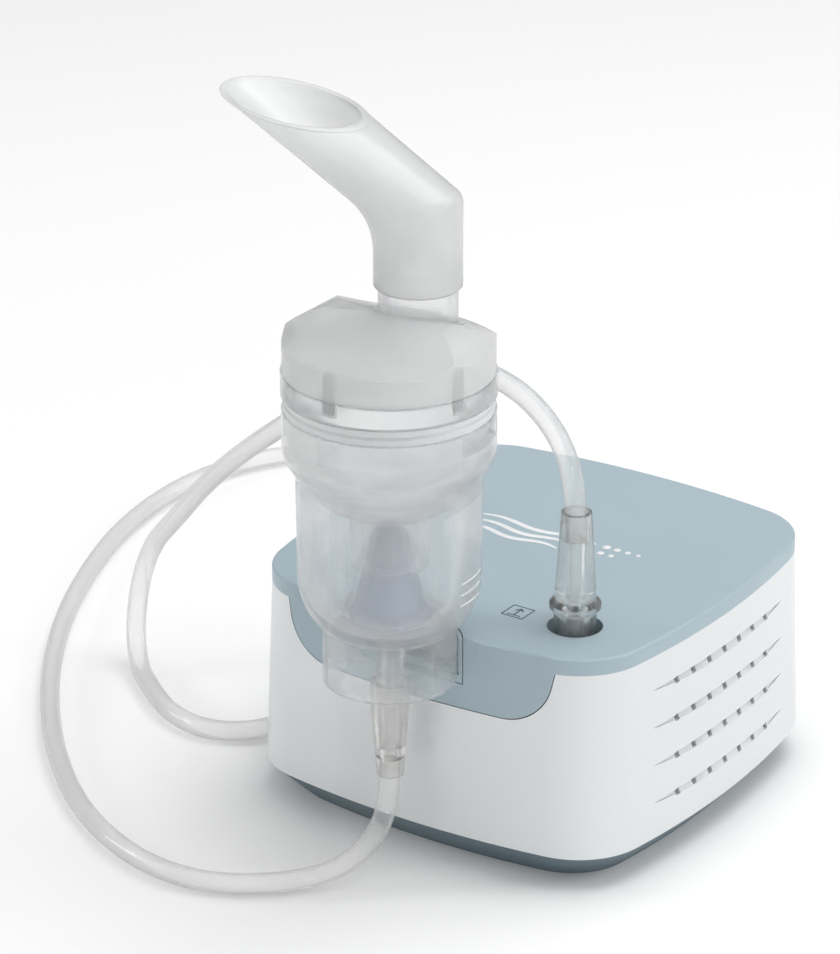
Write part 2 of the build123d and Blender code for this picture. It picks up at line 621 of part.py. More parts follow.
with BuildPart() as valve_plate:
    pump_plate(CYLINDER_FRONT - 2.5, CYLINDER_FRONT)
    for z in (SHAFT_Z - 4, SHAFT_Z + 4):
        rod_along_y(PISTON_X, z, CYLINDER_FRONT - 3, CYLINDER_FRONT, 1.5, mode=Mode.SUBTRACT)
save(valve_plate, "valve_plate")

with BuildPart() as head_gasket:
    pump_plate(GASKET_FRONT, CYLINDER_FRONT - 2.5, centre_bore=8)
save(head_gasket, "head_gasket")

PORT_LENGTH = 3.0
INTAKE_PORT_Y = -24.0
PRESSURE_PORT_Z = 40.0
PRESSURE_PORT_X = 38.0
with BuildPart() as cylinder_head:
    pump_plate(HEAD_FRONT, GASKET_FRONT)
    rod_along_y(PISTON_X, SHAFT_Z, HEAD_FRONT + 2, GASKET_FRONT, 8, mode=Mode.SUBTRACT)
    for z in (SHAFT_Z - 6, SHAFT_Z, SHAFT_Z + 6):
        groove_low = (PISTON_X - 7, HEAD_FRONT - 1, z - 1)
        groove_high = (PISTON_X + 5, HEAD_FRONT + 1, z + 1)
        box_between(groove_low, groove_high, mode=Mode.SUBTRACT)
    rod_along_y(PRESSURE_PORT_X, PRESSURE_PORT_Z, HEAD_FRONT - PORT_LENGTH, HEAD_FRONT, 2)
    rod_along_x(INTAKE_PORT_Y, SHAFT_Z, PISTON_X + HEAD_HALF, PISTON_X + HEAD_HALF + PORT_LENGTH, 2)
save(cylinder_head, "cylinder_head")

with BuildPart() as head_screws:
    for x in (PISTON_X - SCREW_OFFSET, PISTON_X + SCREW_OFFSET):
        for z in (SHAFT_Z - SCREW_OFFSET, SHAFT_Z + SCREW_OFFSET):
            rod_along_y(x, z, HEAD_FRONT, CYLINDER_FRONT + 3, SCREW_RADIUS)
            rod_along_y(x, z, HEAD_FRONT - 2, HEAD_FRONT, SCREW_HEAD)
save(head_screws, "head_screws")

SILENCER_X = 39.0
with BuildPart() as silencer:
    rod_along_y(SILENCER_X, SHAFT_Z, 20, 36, 6)
    fillet(silencer.edges().filter_by(GeomType.CIRCLE), 2)
save(silencer, "silencer")

HOSE_RADIUS = 2.2
with BuildPart() as pressure_hose:
    add_tube(
        [
            (PRESSURE_PORT_X, HEAD_FRONT - PORT_LENGTH, PRESSURE_PORT_Z),
            (OUTLET_X, -36.5, 40.8),
            (OUTLET_X, -38.8, 45.5),
            (OUTLET_X, OUTLET_Y, 54),
        ],
        HOSE_RADIUS,
    )
save(pressure_hose, "pressure_hose")

with BuildPart() as intake_hose:
    add_tube(
        [
            (PISTON_X + HEAD_HALF + PORT_LENGTH, INTAKE_PORT_Y, SHAFT_Z),
            (49.5, -23, SHAFT_Z),
            (51.5, -18, SHAFT_Z),
            (50, -4, SHAFT_Z),
            (43, 8, SHAFT_Z),
            (SILENCER_X, 20, SHAFT_Z),
        ],
        HOSE_RADIUS,
    )
save(intake_hose, "intake_hose")

with BuildPart() as filter_hose:
    hose_route = [(SILENCER_X, 36, SHAFT_Z), (SILENCER_X - 1, 41.5, SHAFT_Z), (FILTER_NIPPLE_X, 47, SHAFT_Z)]
    add_tube(hose_route, HOSE_RADIUS)
save(filter_hose, "filter_hose")

WIRE_RADIUS = 0.9
WIRES = (
    [(-23, INLET_BACK, 36), (-22, 43, 36), (-14, 42, 36), (-4, 46, 36), (-3, 50, 36)],
    [(-33, INLET_BACK, 36), (-33, 43, 37), (-30.5, 38.8, 37.5), (-27.6, 35.3, 36)],
    [(8, 50, 36), (8.5, 45.5, 38), (10, 41, 47), (9, 35, 56), (5, 26, 61.2), (-1, 17, 62), (-8, 14, 62)],
)
with BuildPart() as wiring:
    for wire in WIRES:
        add_tube(wire, WIRE_RADIUS)
save(wiring, "wiring")

# =============================================================== medicine cup
def cup_arc_block(low, high, inner, outer, start, sweep, mode=Mode.ADD):
    """Add a stretch of ring about the cup's axis, from a start angle."""
    across = (cos(radians(start)), sin(radians(start)), 0)
    facing = (sin(radians(start)), -cos(radians(start)), 0)
    with BuildSketch(Plane(origin=(0, CUP_Y, 0), x_dir=across, z_dir=facing)) as section:
        with Locations(((inner + outer) / 2, (low + high) / 2)):
            Rectangle(outer - inner, high - low)
    revolve(section.sketch, axis=CUP_AXIS, revolution_arc=sweep, mode=mode)


WINDOW_LOW = 134.0
WINDOW_HIGH = 138.6
FLANGE_BORE = SPIGOT_RADIUS + 0.1
with BuildPart() as medicine_bowl:
    with BuildSketch(Plane(origin=(0, CUP_Y, 0), x_dir=(1, 0, 0), z_dir=(0, -1, 0))):
        with BuildLine():
            Line((SKIRT_RADIUS, SKIRT_BOTTOM), (SKIRT_RADIUS, 75.6))
            ThreePointArc((SKIRT_RADIUS, 75.6), (22.9, 81.0), (25.4, 90.0))
            Line((25.4, 90.0), (25.7, 119.0))
            Spline((25.7, 119.0), (27.5, 124.2), (FLANGE_RADIUS, 129.6), tangents=[(0, 1), (0, 1)])
            Polyline(
                (FLANGE_RADIUS, 129.6), (FLANGE_RADIUS, FLANGE_TOP),
                (FLANGE_BORE, FLANGE_TOP), (FLANGE_BORE, 130.2),
            )
            Spline((FLANGE_BORE, 130.2), (26.0, 124.8), (24.2, 119.5), tangents=[(0, -1), (0, -1)])
            Line((24.2, 119.5), (23.9, 90.5))
            ThreePointArc((23.9, 90.5), (21.6, 82.4), (17.6, 78.3))
            Polyline(
                (17.6, 78.3), (4.2, 76.2), (3.4, 79.0), (2.2, 97.0), (0.9, 100.0), (0.4, 100.0),
                (0.4, 97.5), (1.6, 95.0), (2.0, 60.0), (2.0, 38.0), (3.0, 38.0), (3.75, 58.0),
                (3.75, 73.6), (16.9, 74.6), (17.4, 73.0), (17.4, SKIRT_BOTTOM), (SKIRT_RADIUS, SKIRT_BOTTOM),
            )
        make_face()
    revolve(axis=CUP_AXIS)
    for start in (-12, 168):
        cup_arc_block(
            WINDOW_LOW, WINDOW_HIGH, FLANGE_BORE - 1, FLANGE_RADIUS + 1, start, 43, mode=Mode.SUBTRACT
        )
save(medicine_bowl, "medicine_bowl")

with BuildPart() as baffle_cone:
    with BuildSketch(Plane(origin=(0, CUP_Y, 0), x_dir=(1, 0, 0), z_dir=(0, -1, 0))):
        with BuildLine():
            Polyline((11.2, 77.6), (11.2, 79.2), (9.9, 81.0), (6.4, 96.0), (5.6, 99.0))
            Spline((5.6, 99.0), (4.4, 103.8), (0, 105.8), tangents=[(0, 1), (-1, 0)])
            Line((0, 105.8), (0, 104.3))
            Spline((0, 104.3), (3.4, 102.6), (4.4, 98.5), tangents=[(1, 0), (0, -1)])
            Polyline((4.4, 98.5), (5.2, 95.5), (8.6, 80.4), (9.8, 77.6), (11.2, 77.6))
        make_face()
    revolve(axis=CUP_AXIS)
save(baffle_cone, "baffle_cone")

with BuildPart() as bowl_seal:
    turned_about(
        0,
        CUP_Y,
        [
            (SPIGOT_RADIUS, 140.5), (28.7, 140.5), (28.7, 142.0), (28.2, 142.6),
            (28.7, 143.2), (28.7, 144.7), (SPIGOT_RADIUS, 144.7),
        ],
    )
save(bowl_seal, "bowl_seal")

# =============================================================== upper half of the cup
INLET_VALVE_Y = CUP_Y - 14.0
INLET_VALVE_RADIUS = 7.0
HOUSING_DECK = 149.5
CLIP_INNER = 27.8
CLIP_OUTER = 28.7
with BuildPart() as upper_housing:
    turned_about(
        0,
        CUP_Y,
        [
            (HOUSING_RADIUS, HOUSING_TOP), (HOUSING_RADIUS, HOUSING_BOTTOM), (SPIGOT_RADIUS, HOUSING_BOTTOM),
            (SPIGOT_RADIUS, 131.0), (27.2, 129.6), (25.2, 124.0), (23.4, 119.6), (19.8, 114.4), (14.2, 111.0),
            (11.0, 110.0), (11.0, 94.2), (9.9, 94.2), (9.9, 111.4), (13.4, 112.5), (18.6, 115.8),
            (22.0, 120.6), (23.8, 124.9), (25.8, 130.2), (26.2, 131.6), (26.2, HOUSING_DECK),
            (0, HOUSING_DECK), (0, HOUSING_TOP),
        ],
    )
    cylinder_at(0, CHIMNEY_Y, HOUSING_DECK, CHIMNEY_TOP, CHIMNEY_RADIUS)
    for start in LUG_ANGLES:
        cup_arc_block(WINDOW_LOW + 0.7, WINDOW_HIGH - 0.7, 27.0, FLANGE_RADIUS - 0.3, start - 3, 6)
    cylinder_at(0, CHIMNEY_Y, HOUSING_DECK - 1, CHIMNEY_TOP, CHIMNEY_RADIUS - 1.1, mode=Mode.SUBTRACT)
    cylinder_at(0, INLET_VALVE_Y, HOUSING_DECK - 1, HOUSING_TOP, INLET_VALVE_RADIUS, mode=Mode.SUBTRACT)
    for angle in CLIP_ANGLES:
        cup_arc_block(
            147.0, HOUSING_TOP, CLIP_INNER - 0.3, CLIP_OUTER + 0.3, angle - 4.5, 9, mode=Mode.SUBTRACT
        )
    box_between(
        (-INLET_VALVE_RADIUS, INLET_VALVE_Y - 0.6, HOUSING_DECK),
        (INLET_VALVE_RADIUS, INLET_VALVE_Y + 0.6, HOUSING_TOP),
    )
    box_between(
        (-0.6, INLET_VALVE_Y - INLET_VALVE_RADIUS, HOUSING_DECK),
        (0.6, INLET_VALVE_Y + INLET_VALVE_RADIUS, HOUSING_TOP),
    )
save(upper_housing, "upper_housing")

with BuildPart() as valve_membrane:
    cylinder_at(0, INLET_VALVE_Y, HOUSING_TOP + 0.02, HOUSING_TOP + 0.8, INLET_VALVE_RADIUS + 1.5)
    cylinder_at(0, INLET_VALVE_Y, HOUSING_TOP + 0.8, HOUSING_TOP + 2.2, 1.2)
save(valve_membrane, "valve_membrane")

# The cap is the meeting of a disc, a side view and a front view: a ridge runs across it along X,
# with a hollow for the thumb in front of the ridge and a gentle fall behind it.
CAP_BOTTOM = HOUSING_TOP + FIT_GAP
CAP_EDGE = CAP_RADIUS + 1
with BuildPart() as cap_front_view:
    with BuildSketch(Plane.XZ.offset(-CUP_Y)):
        with BuildLine():
            side = CAP_PEAK - 8.6
            shoulder = CAP_PEAK - 3.3
            Polyline((-CAP_EDGE, side), (-CAP_EDGE, CAP_BOTTOM), (CAP_EDGE, CAP_BOTTOM), (CAP_EDGE, side))
            ThreePointArc((-CAP_EDGE, side), (-25.6, shoulder), (-15.8, CAP_PEAK - 0.5))
            ThreePointArc((-15.8, CAP_PEAK - 0.5), (0, CAP_PEAK + 0.2), (15.8, CAP_PEAK - 0.5))
            ThreePointArc((CAP_EDGE, side), (25.6, shoulder), (15.8, CAP_PEAK - 0.5))
        make_face()
    extrude(amount=CAP_EDGE, both=True)

with BuildPart() as valve_cap:
    cylinder_at(0, CUP_Y, CAP_BOTTOM, CAP_PEAK + 1, CAP_RADIUS)
    with BuildSketch(Plane.YZ):
        with BuildLine():
            Polyline(
                (CUP_Y - CAP_EDGE, CAP_FRONT + 0.2), (CUP_Y - CAP_EDGE, CAP_BOTTOM),
                (CUP_Y + CAP_EDGE, CAP_BOTTOM), (CUP_Y + CAP_EDGE, 157.5),
            )
            Spline(
                (CUP_Y - CAP_EDGE, CAP_FRONT + 0.2), (CUP_Y - 22, 158.6), (CUP_Y - 12, 160.2),
                (CUP_Y - 4, 164.9), (CUP_Y + 0.5, CAP_PEAK), (CUP_Y + 6, 165.2), (CUP_Y + 16, 161.4),
                (CUP_Y + CAP_EDGE, 157.5),
            )
        make_face()
    extrude(amount=CAP_EDGE, both=True, mode=Mode.INTERSECT)
    add(cap_front_view.part, mode=Mode.INTERSECT)
    cylinder_at(0, CUP_Y, CAP_BOTTOM, 156.6, CAP_RADIUS - 1.5, mode=Mode.SUBTRACT)
    for angle in CLIP_ANGLES:
        cup_arc_block(147.4, 157.0, CLIP_INNER, CLIP_OUTER, angle - 3.2, 6.4)
    cylinder_at(0, CHIMNEY_Y, CAP_BOTTOM, CAP_PEAK + 1, SLEEVE_RADIUS + 0.4, mode=Mode.SUBTRACT)
save(valve_cap, "valve_cap")

# =============================================================== mouthpiece
BEND_SLOPE = degrees(atan2(BEND_HIGH - BEND_LOW, 2 * SLEEVE_RADIUS))
BEND_Z = (BEND_LOW + BEND_HIGH) / 2
BEND_STRETCH = 1 / cos(radians(BEND_SLOPE))
SLEEVE_TOP = 184.0


def oval(x, z, slope, half_length, half_width):
    """An oval section of the mouthpiece on a sloping plane."""
    across = (cos(radians(slope)), 0, sin(radians(slope)))
    upward = (-sin(radians(slope)), 0, cos(radians(slope)))
    with BuildSketch(Plane(origin=(x, CHIMNEY_Y, z), x_dir=across, z_dir=upward)) as section:
        Ellipse(half_length, half_width)
    return section.sketch


def mouth_loft(inset, lift, mode=Mode.ADD):
    """Add the bent, widening part of the mouthpiece."""
    radius = SLEEVE_RADIUS - inset
    straight = oval(0, SLEEVE_TOP - lift, 0, radius, radius)
    bend = oval(0, BEND_Z, BEND_SLOPE, radius * BEND_STRETCH, radius)
    rim = oval(RIM_X - lift, RIM_Z + lift, -RIM_TILT, RIM_HALF_LENGTH - inset, RIM_HALF_WIDTH - inset)
    loft([straight, bend], ruled=True, mode=mode)
    loft([bend, rim], ruled=True, mode=mode)


with BuildPart() as mouthpiece:
    cylinder_at(0, CHIMNEY_Y, SLEEVE_BOTTOM, SLEEVE_TOP, SLEEVE_RADIUS)
    mouth_loft(0, 0)
    cylinder_at(0, CHIMNEY_Y, SLEEVE_BOTTOM, SLEEVE_TOP, CHIMNEY_RADIUS + FIT, mode=Mode.SUBTRACT)
    mouth_loft(MOUTH_WALL, 0.6, mode=Mode.SUBTRACT)
save(mouthpiece, "mouthpiece")

# =============================================================== air tube and its two ends
with BuildPart() as outlet_connector:
    turned_about(
        OUTLET_X,
        OUTLET_Y,
        [
            (NOZZLE_RADIUS + 0.05, 62.4), (6.0, 62.4), (6.0, 75.6), (7.3, 76.6), (7.3, 78.0), (5.9, 79.4),
            (4.3, 105.3), (TUBE_RADIUS + 0.05, 105.3), (TUBE_RADIUS + 0.05, 97.0), (1.8, 97.0), (1.8, 75.0),
            (NOZZLE_RADIUS + 0.05, NOZZLE_TOP + 0.4),
        ],
    )
save(outlet_connector, "outlet_connector")

with BuildPart() as cup_connector:
    turned_about(
        0,
        CUP_Y,
        [
            (TUBE_RADIUS + 0.05, 28.8), (3.8, 28.8), (5.5, 50.6), (5.5, 57.6), (3.75 + FIT, 57.6),
            (3.0 + FIT, 37.6), (1.8, 37.0), (1.8, 34.0), (TUBE_RADIUS + 0.05, 34.0),
        ],
    )
save(cup_connector, "cup_connector")

with BuildPart() as air_tube:
    tube_length = add_tube(TUBE_ROUTE, TUBE_RADIUS)
save(air_tube, "air_tube")

print("air tube: length", round(tube_length, 1), "mm")
section_times_length = pi * TUBE_RADIUS**2 * tube_length
print("air tube: volume", round(air_tube.part.volume), "against", round(section_times_length), "mm3")
print("air tube: radii", [round(radius, 1) for radius in corner_radii(TUBE_ROUTE)])
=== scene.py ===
import json
import math

import bmesh
import bpy
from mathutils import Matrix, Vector


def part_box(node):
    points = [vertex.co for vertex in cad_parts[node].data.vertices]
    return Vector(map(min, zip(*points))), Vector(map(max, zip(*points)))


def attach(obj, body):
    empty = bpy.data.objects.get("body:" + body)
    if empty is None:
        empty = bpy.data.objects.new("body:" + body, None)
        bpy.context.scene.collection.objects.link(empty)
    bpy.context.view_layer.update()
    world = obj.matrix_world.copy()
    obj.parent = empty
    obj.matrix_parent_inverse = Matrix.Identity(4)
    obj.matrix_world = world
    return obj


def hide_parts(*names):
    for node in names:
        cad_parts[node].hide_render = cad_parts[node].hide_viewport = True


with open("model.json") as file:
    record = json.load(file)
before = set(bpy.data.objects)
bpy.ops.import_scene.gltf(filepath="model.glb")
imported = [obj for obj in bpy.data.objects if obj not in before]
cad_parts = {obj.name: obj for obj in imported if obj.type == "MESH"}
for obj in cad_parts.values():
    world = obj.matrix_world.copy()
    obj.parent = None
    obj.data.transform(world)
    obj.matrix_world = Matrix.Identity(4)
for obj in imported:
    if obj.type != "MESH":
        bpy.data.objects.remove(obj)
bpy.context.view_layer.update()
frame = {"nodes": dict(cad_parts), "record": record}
nodes = frame["nodes"]
scene = bpy.context.scene

# A tabletop nebulizer. Metres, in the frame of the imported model: +Z up, the cup in front at -Y.
MM = 0.001


# ------------------------------------------------------------------ camera
CAMERA_LENS = 163
CAMERA_NEAR = 0.05
CAMERA_PLACE = Vector((0.6115, -0.9647, 0.5879))
CAMERA_AIM = Vector((-0.0467, 0.0092, 0.0778))


def add_camera():
    """The camera, a long lens that looks down on the cup's front right."""
    data = bpy.data.cameras.new("camera")
    data.lens = CAMERA_LENS
    data.clip_start = CAMERA_NEAR
    camera = bpy.data.objects.new("camera", data)
    scene.collection.objects.link(camera)
    camera.location = CAMERA_PLACE
    camera.rotation_euler = (CAMERA_AIM - CAMERA_PLACE).to_track_quat("-Z", "Y").to_euler()
    scene.camera = camera


# ------------------------------------------------------------------ material helpers
def plastic(name, colour, roughness, **constants):
    """A material with one Principled shader, its constant values set on the shader's own sockets."""
    material = bpy.data.materials.new(name)
    material.use_nodes = True
    shader = material.node_tree.nodes["Principled BSDF"]
    shader.inputs["Base Color"].default_value = (*colour, 1)
    shader.inputs["Roughness"].default_value = roughness
    for socket, value in constants.items():
        shader.inputs[socket.replace("_", " ")].default_value = value
    return material


def noise(material, scale, detail=3.0):
    """A noise texture that is fixed to the object's own coordinates."""
    tree = material.node_tree
    place = tree.nodes.new("ShaderNodeTexCoord")
    texture = tree.nodes.new("ShaderNodeTexNoise")
    texture.inputs["Scale"].default_value = scale
    texture.inputs["Detail"].default_value = detail
    tree.links.new(place.outputs["Object"], texture.inputs["Vector"])
    return texture.outputs["Fac"]


def grain(material, scale, strength, distance=0.0002):
    """A fine moulded grain in the surface's bump."""
    tree = material.node_tree
    bump = tree.nodes.new("ShaderNodeBump")
    bump.inputs["Strength"].default_value = strength
    bump.inputs["Distance"].default_value = distance
    tree.links.new(noise(material, scale), bump.inputs["Height"])
    tree.links.new(bump.outputs["Normal"], tree.nodes["Principled BSDF"].inputs["Normal"])
    return material


def spread(material, socket, scale, low, high):
    """A value, such as roughness, that wanders between two numbers over the surface."""
    tree = material.node_tree
    ramp = tree.nodes.new("ShaderNodeMapRange")
    ramp.inputs["From Min"].default_value = 0.3
    ramp.inputs["From Max"].default_value = 0.7
    ramp.inputs["To Min"].default_value = low
    ramp.inputs["To Max"].default_value = high
    tree.links.new(noise(material, scale), ramp.inputs["Value"])
    tree.links.new(ramp.outputs["Result"], tree.nodes["Principled BSDF"].inputs[socket])
    return material


def tinted(material, scale, first, second):
    """A base colour that wanders a little between two colours."""
    tree = material.node_tree
    mix = tree.nodes.new("ShaderNodeMix")
    mix.data_type = "RGBA"
    mix.inputs["A"].default_value = (*first, 1)
    mix.inputs["B"].default_value = (*second, 1)
    tree.links.new(noise(material, scale), mix.inputs["Factor"])
    tree.links.new(mix.outputs["Result"], tree.nodes["Principled BSDF"].inputs["Base Color"])
    return material


def clear(
    name, edge, middle, roughness, edge_alpha, middle_alpha, blend=0.35, transmission=0.6, ior=1.35,
):
    """Clear or milky plastic: it lets light through and is denser at its silhouettes, where its darker
    colour is painted edge shade.
    """
    material = plastic(name, middle, roughness, IOR=ior, Transmission_Weight=transmission)
    tree = material.node_tree
    shader = tree.nodes["Principled BSDF"]
    weight = tree.nodes.new("ShaderNodeLayerWeight")
    weight.inputs["Blend"].default_value = blend
    colour = tree.nodes.new("ShaderNodeMix")
    colour.data_type = "RGBA"
    colour.inputs["A"].default_value = (*middle, 1)
    colour.inputs["B"].default_value = (*edge, 1)
    density = tree.nodes.new("ShaderNodeMapRange")
    density.inputs["To Min"].default_value = middle_alpha
    density.inputs["To Max"].default_value = edge_alpha
    # painted edge shade: the base colour turns to the darker edge colour where the surface is seen
    # edge-on
    tree.links.new(weight.outputs["Facing"], colour.inputs["Factor"])
    tree.links.new(weight.outputs["Facing"], density.inputs["Value"])
    tree.links.new(colour.outputs["Result"], shader.inputs["Base Color"])
    tree.links.new(density.outputs["Result"], shader.inputs["Alpha"])
    return material


# ------------------------------------------------------------------ materials
def make_materials():
    """One material for each slot of the record."""
    made = {}
    made["cover_blue"] = grain(
        tinted(
            plastic("cover_blue", (0.36, 0.46, 0.51), 0.38), 60, (0.352, 0.447, 0.497),
            (0.372, 0.468, 0.518),
        ),
        5200, 0.12)
    spread(made["cover_blue"], "Roughness", 90, 0.34, 0.42)
    made["tray_blue"] = grain(
        tinted(
            plastic("tray_blue", (0.115, 0.165, 0.195), 0.45), 60, (0.108, 0.158, 0.188),
            (0.120, 0.172, 0.202),
        ),
        5200, 0.2)
    spread(made["tray_blue"], "Roughness", 90, 0.42, 0.50)
    made["shell_white"] = grain(
        tinted(
            plastic(
                "shell_white", (0.72, 0.745, 0.755), 0.3,
                Metallic=0.35, Coat_Weight=0.35, Coat_Roughness=0.2,
            ),
            2600, (0.71, 0.733, 0.745), (0.74, 0.76, 0.768)),
        9000, 0.02, 0.00005)
    # in each clear material the first colour is a painted edge shade for its silhouettes
    made["cup_clear"] = grain(
        clear(
            "cup_clear", (0.50, 0.52, 0.53), (0.97, 0.975, 0.98), 0.05, 0.96, 0.26,
            blend=0.3, transmission=0.72, ior=1.3,
        ),
        300, 0.02)
    made["cap_milky"] = grain(
        clear(
            "cap_milky", (0.66, 0.67, 0.675), (0.95, 0.955, 0.955), 0.24, 0.97, 0.74,
            transmission=0.45,
        ), 700, 0.04)
    made["mouth_clear"] = grain(
        clear(
            "mouth_clear", (0.62, 0.63, 0.635), (0.95, 0.955, 0.955), 0.18, 0.97, 0.70,
            transmission=0.45,
        ), 900, 0.04)
    made["baffle_tint"] = grain(
        clear(
            "baffle_tint", (0.30, 0.35, 0.43), (0.50, 0.57, 0.67), 0.2, 0.97, 0.85,
            transmission=0.2,
        ), 400, 0.03)
    made["connector_clear"] = grain(
        clear(
            "connector_clear", (0.50, 0.49, 0.47), (0.98, 0.97, 0.955), 0.03, 1.0, 0.80,
            transmission=0.95, ior=1.5,
        ),
        500, 0.03)
    made["tube_clear"] = grain(
        clear(
            "tube_clear", (0.34, 0.34, 0.335), (0.96, 0.96, 0.955), 0.06, 1.0, 0.42,
            blend=0.28, transmission=0.5,
        ),
        500, 0.03)
    made["black_plastic"] = grain(
        tinted(
            plastic("black_plastic", (0.02, 0.02, 0.022), 0.5), 200, (0.016, 0.016, 0.018),
            (0.026, 0.026, 0.028),
        ),
        3500, 0.35)
    made["grey_plastic"] = grain(
        tinted(
            plastic("grey_plastic", (0.3, 0.36, 0.4), 0.42), 120, (0.28, 0.34, 0.38),
            (0.32, 0.38, 0.42),
        ),
        4500, 0.2)
    made["felt"] = grain(
        tinted(
            plastic("felt", (0.75, 0.75, 0.72), 0.95, Sheen_Weight=0.6), 1800,
            (0.66, 0.66, 0.62), (0.8, 0.8, 0.77),
        ),
        2500, 0.9)
    made["rubber_grey"] = grain(
        tinted(
            plastic("rubber_grey", (0.07, 0.075, 0.08), 0.75), 400, (0.055, 0.06, 0.065),
            (0.085, 0.09, 0.095),
        ),
        2600, 0.45)
    made["silicone_white"] = grain(
        tinted(
            plastic("silicone_white", (0.66, 0.68, 0.685), 0.35), 300, (0.63, 0.65, 0.655),
            (0.70, 0.715, 0.72),
        ),
        1500, 0.1)
    made["hose_black"] = grain(
        tinted(
            plastic("hose_black", (0.03, 0.03, 0.03), 0.6), 250, (0.024, 0.024, 0.024),
            (0.038, 0.038, 0.038),
        ),
        2200, 0.3)
    made["wire_red"] = grain(
        tinted(
            plastic("wire_red", (0.4, 0.03, 0.03), 0.35), 300, (0.36, 0.025, 0.025),
            (0.44, 0.04, 0.04),
        ), 1800, 0.1)
    made["screw_steel"] = metal("screw_steel", (0.60, 0.60, 0.58), 0.24, 900)
    made["sheet_steel"] = metal("sheet_steel", (0.42, 0.42, 0.42), 0.42, 500)
    made["copper_wire"] = metal("copper_wire", (0.72, 0.33, 0.14), 0.30, 1500)
    made["cast_alloy"] = metal("cast_alloy", (0.62, 0.62, 0.63), 0.50, 1100)
    made["clip_grey"] = grain(
        clear(
            "clip_grey", (0.42, 0.43, 0.435), (0.62, 0.635, 0.64), 0.15, 0.95, 0.8,
            transmission=0.3,
        ), 800, 0.03)
    made["print_white"] = grain(
        tinted(
            plastic("print_white", (0.86, 0.88, 0.89), 0.4), 400, (0.84, 0.86, 0.87),
            (0.9, 0.91, 0.92),
        ), 3000, 0.1)
    made["print_dark"] = grain(
        tinted(
            plastic("print_dark", (0.06, 0.11, 0.14), 0.45), 400, (0.055, 0.10, 0.13),
            (0.07, 0.12, 0.15),
        ), 3000, 0.1)
    return made


def metal(name, colour, roughness, scale):
    """Bare metal with fine machining or casting marks."""
    darker = tuple(channel * 0.9 for channel in colour)
    material = tinted(plastic(name, colour, roughness, Metallic=1.0), scale / 4, darker, colour)
    spread(material, "Roughness", scale, roughness - 0.06, roughness + 0.08)
    return grain(material, scale * 3, 0.25)


def dress(piece, material):
    """Give a piece one material."""
    piece.data.materials.clear()
    piece.data.materials.append(material)


# ------------------------------------------------------------------ cord
TUBE_ROUTE = [
    (38, -39, 97), (38, -39, 112), (30.5, -37.5, 127.5), (13.5, -36.3, 138.3), (-13, -36, 139.5),
    (-45, -35, 120.5), (-76, -31, 97), (-102, -22, 74.5), (-122, -12, 53.5), (-136, -5.5, 39.5),
    (-142, -4.5, 25.5), (-140.5, -10, 12), (-132.5, -19, 3.2), (-118, -30.5, 3.2), (-105, -39, 3.2),
    (-91, -42, 3.2), (-79.5, -37, 3.2), (-73, -26.5, 3.2), (-72.5, -9, 3.2), (-73, 16, 3.2),
    (-76, 44, 3.2), (-80, 74, 3.2), (-87, 105, 3.2), (-101, 134, 3.2), (-125, 155, 3.2),
    (-155, 163, 3.2), (-183, 154, 3.2), (-200.5, 130, 3.2), (-206.5, 98, 3.2), (-201.5, 62, 3.2),
    (-189, 27, 3.2), (-172, -8, 3.2), (-149, -43, 3.2), (-121, -76, 3.2), (-90, -103, 3.2),
    (-59, -118, 3.2), (-34, -119, 3.2), (-15, -107, 3.2), (-4, -93, 5), (0, -81, 12),
    (0, -74.8, 22), (0, -74.8, 34),
]
TUBE_RADIUS = 3.0 * MM


def add_air_hose(materials):
    """The clear air tube, from the compressor's outlet to the foot of the cup."""
    curve = bpy.data.curves.new("air_hose", "CURVE")
    curve.dimensions = "3D"
    curve.bevel_depth = TUBE_RADIUS
    curve.bevel_resolution = 10
    curve.resolution_u = 10
    curve.use_fill_caps = True
    spline = curve.splines.new("NURBS")
    spline.points.add(len(TUBE_ROUTE) - 1)
    for point, (x, y, z) in zip(spline.points, TUBE_ROUTE):
        point.co = (x * MM, y * MM, z * MM, 1)
    spline.order_u = 3
    spline.use_endpoint_u = True
    hose = bpy.data.objects.new("air_hose", curve)
    scene.collection.objects.link(hose)
    dress(hose, materials["tube_clear"])
    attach(hose, "compressor")
    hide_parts("air_tube")


# ------------------------------------------------------------------ mesh helpers
def mesh_piece(name, points, faces, material, body):
    """A smooth-shaded piece from points in millimetres, which rides on a body."""
    mesh = bpy.data.meshes.new(name)
    mesh.from_pydata([(x * MM, y * MM, z * MM) for x, y, z in points], [], faces)
    work = bmesh.new()
    work.from_mesh(mesh)
    bmesh.ops.recalc_face_normals(work, faces=work.faces)
    work.to_mesh(mesh)
    work.free()
    mesh.shade_smooth()
    piece = bpy.data.objects.new(name, mesh)
    scene.collection.objects.link(piece)
    dress(piece, material)
    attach(piece, body)
    return piece


def sharpened(piece, degrees=32):
    """Keep edges that turn by more than an angle sharp, and the rest smooth."""
    for edge in piece.data.edges:
        edge.use_edge_sharp = False
    work = bmesh.new()
    work.from_mesh(piece.data)
    for edge in work.edges:
        edge.smooth = not edge.is_manifold or edge.calc_face_angle(0) < math.radians(degrees)
    work.to_mesh(piece.data)
    work.free()
    return piece


def tube_faces(ring_count, ring_size, closed_loop=True):
    """Faces between rings of points, and from the last ring back to the first if the loop is closed."""
    faces = []
    for ring in range(ring_count if closed_loop else ring_count - 1):
        after = (ring + 1) % ring_count
        here, there = ring * ring_size, after * ring_size
        for step in range(ring_size):
            turn = (step + 1) % ring_size
            faces.append((here + step, here + turn, there + turn, there + step))
    return faces


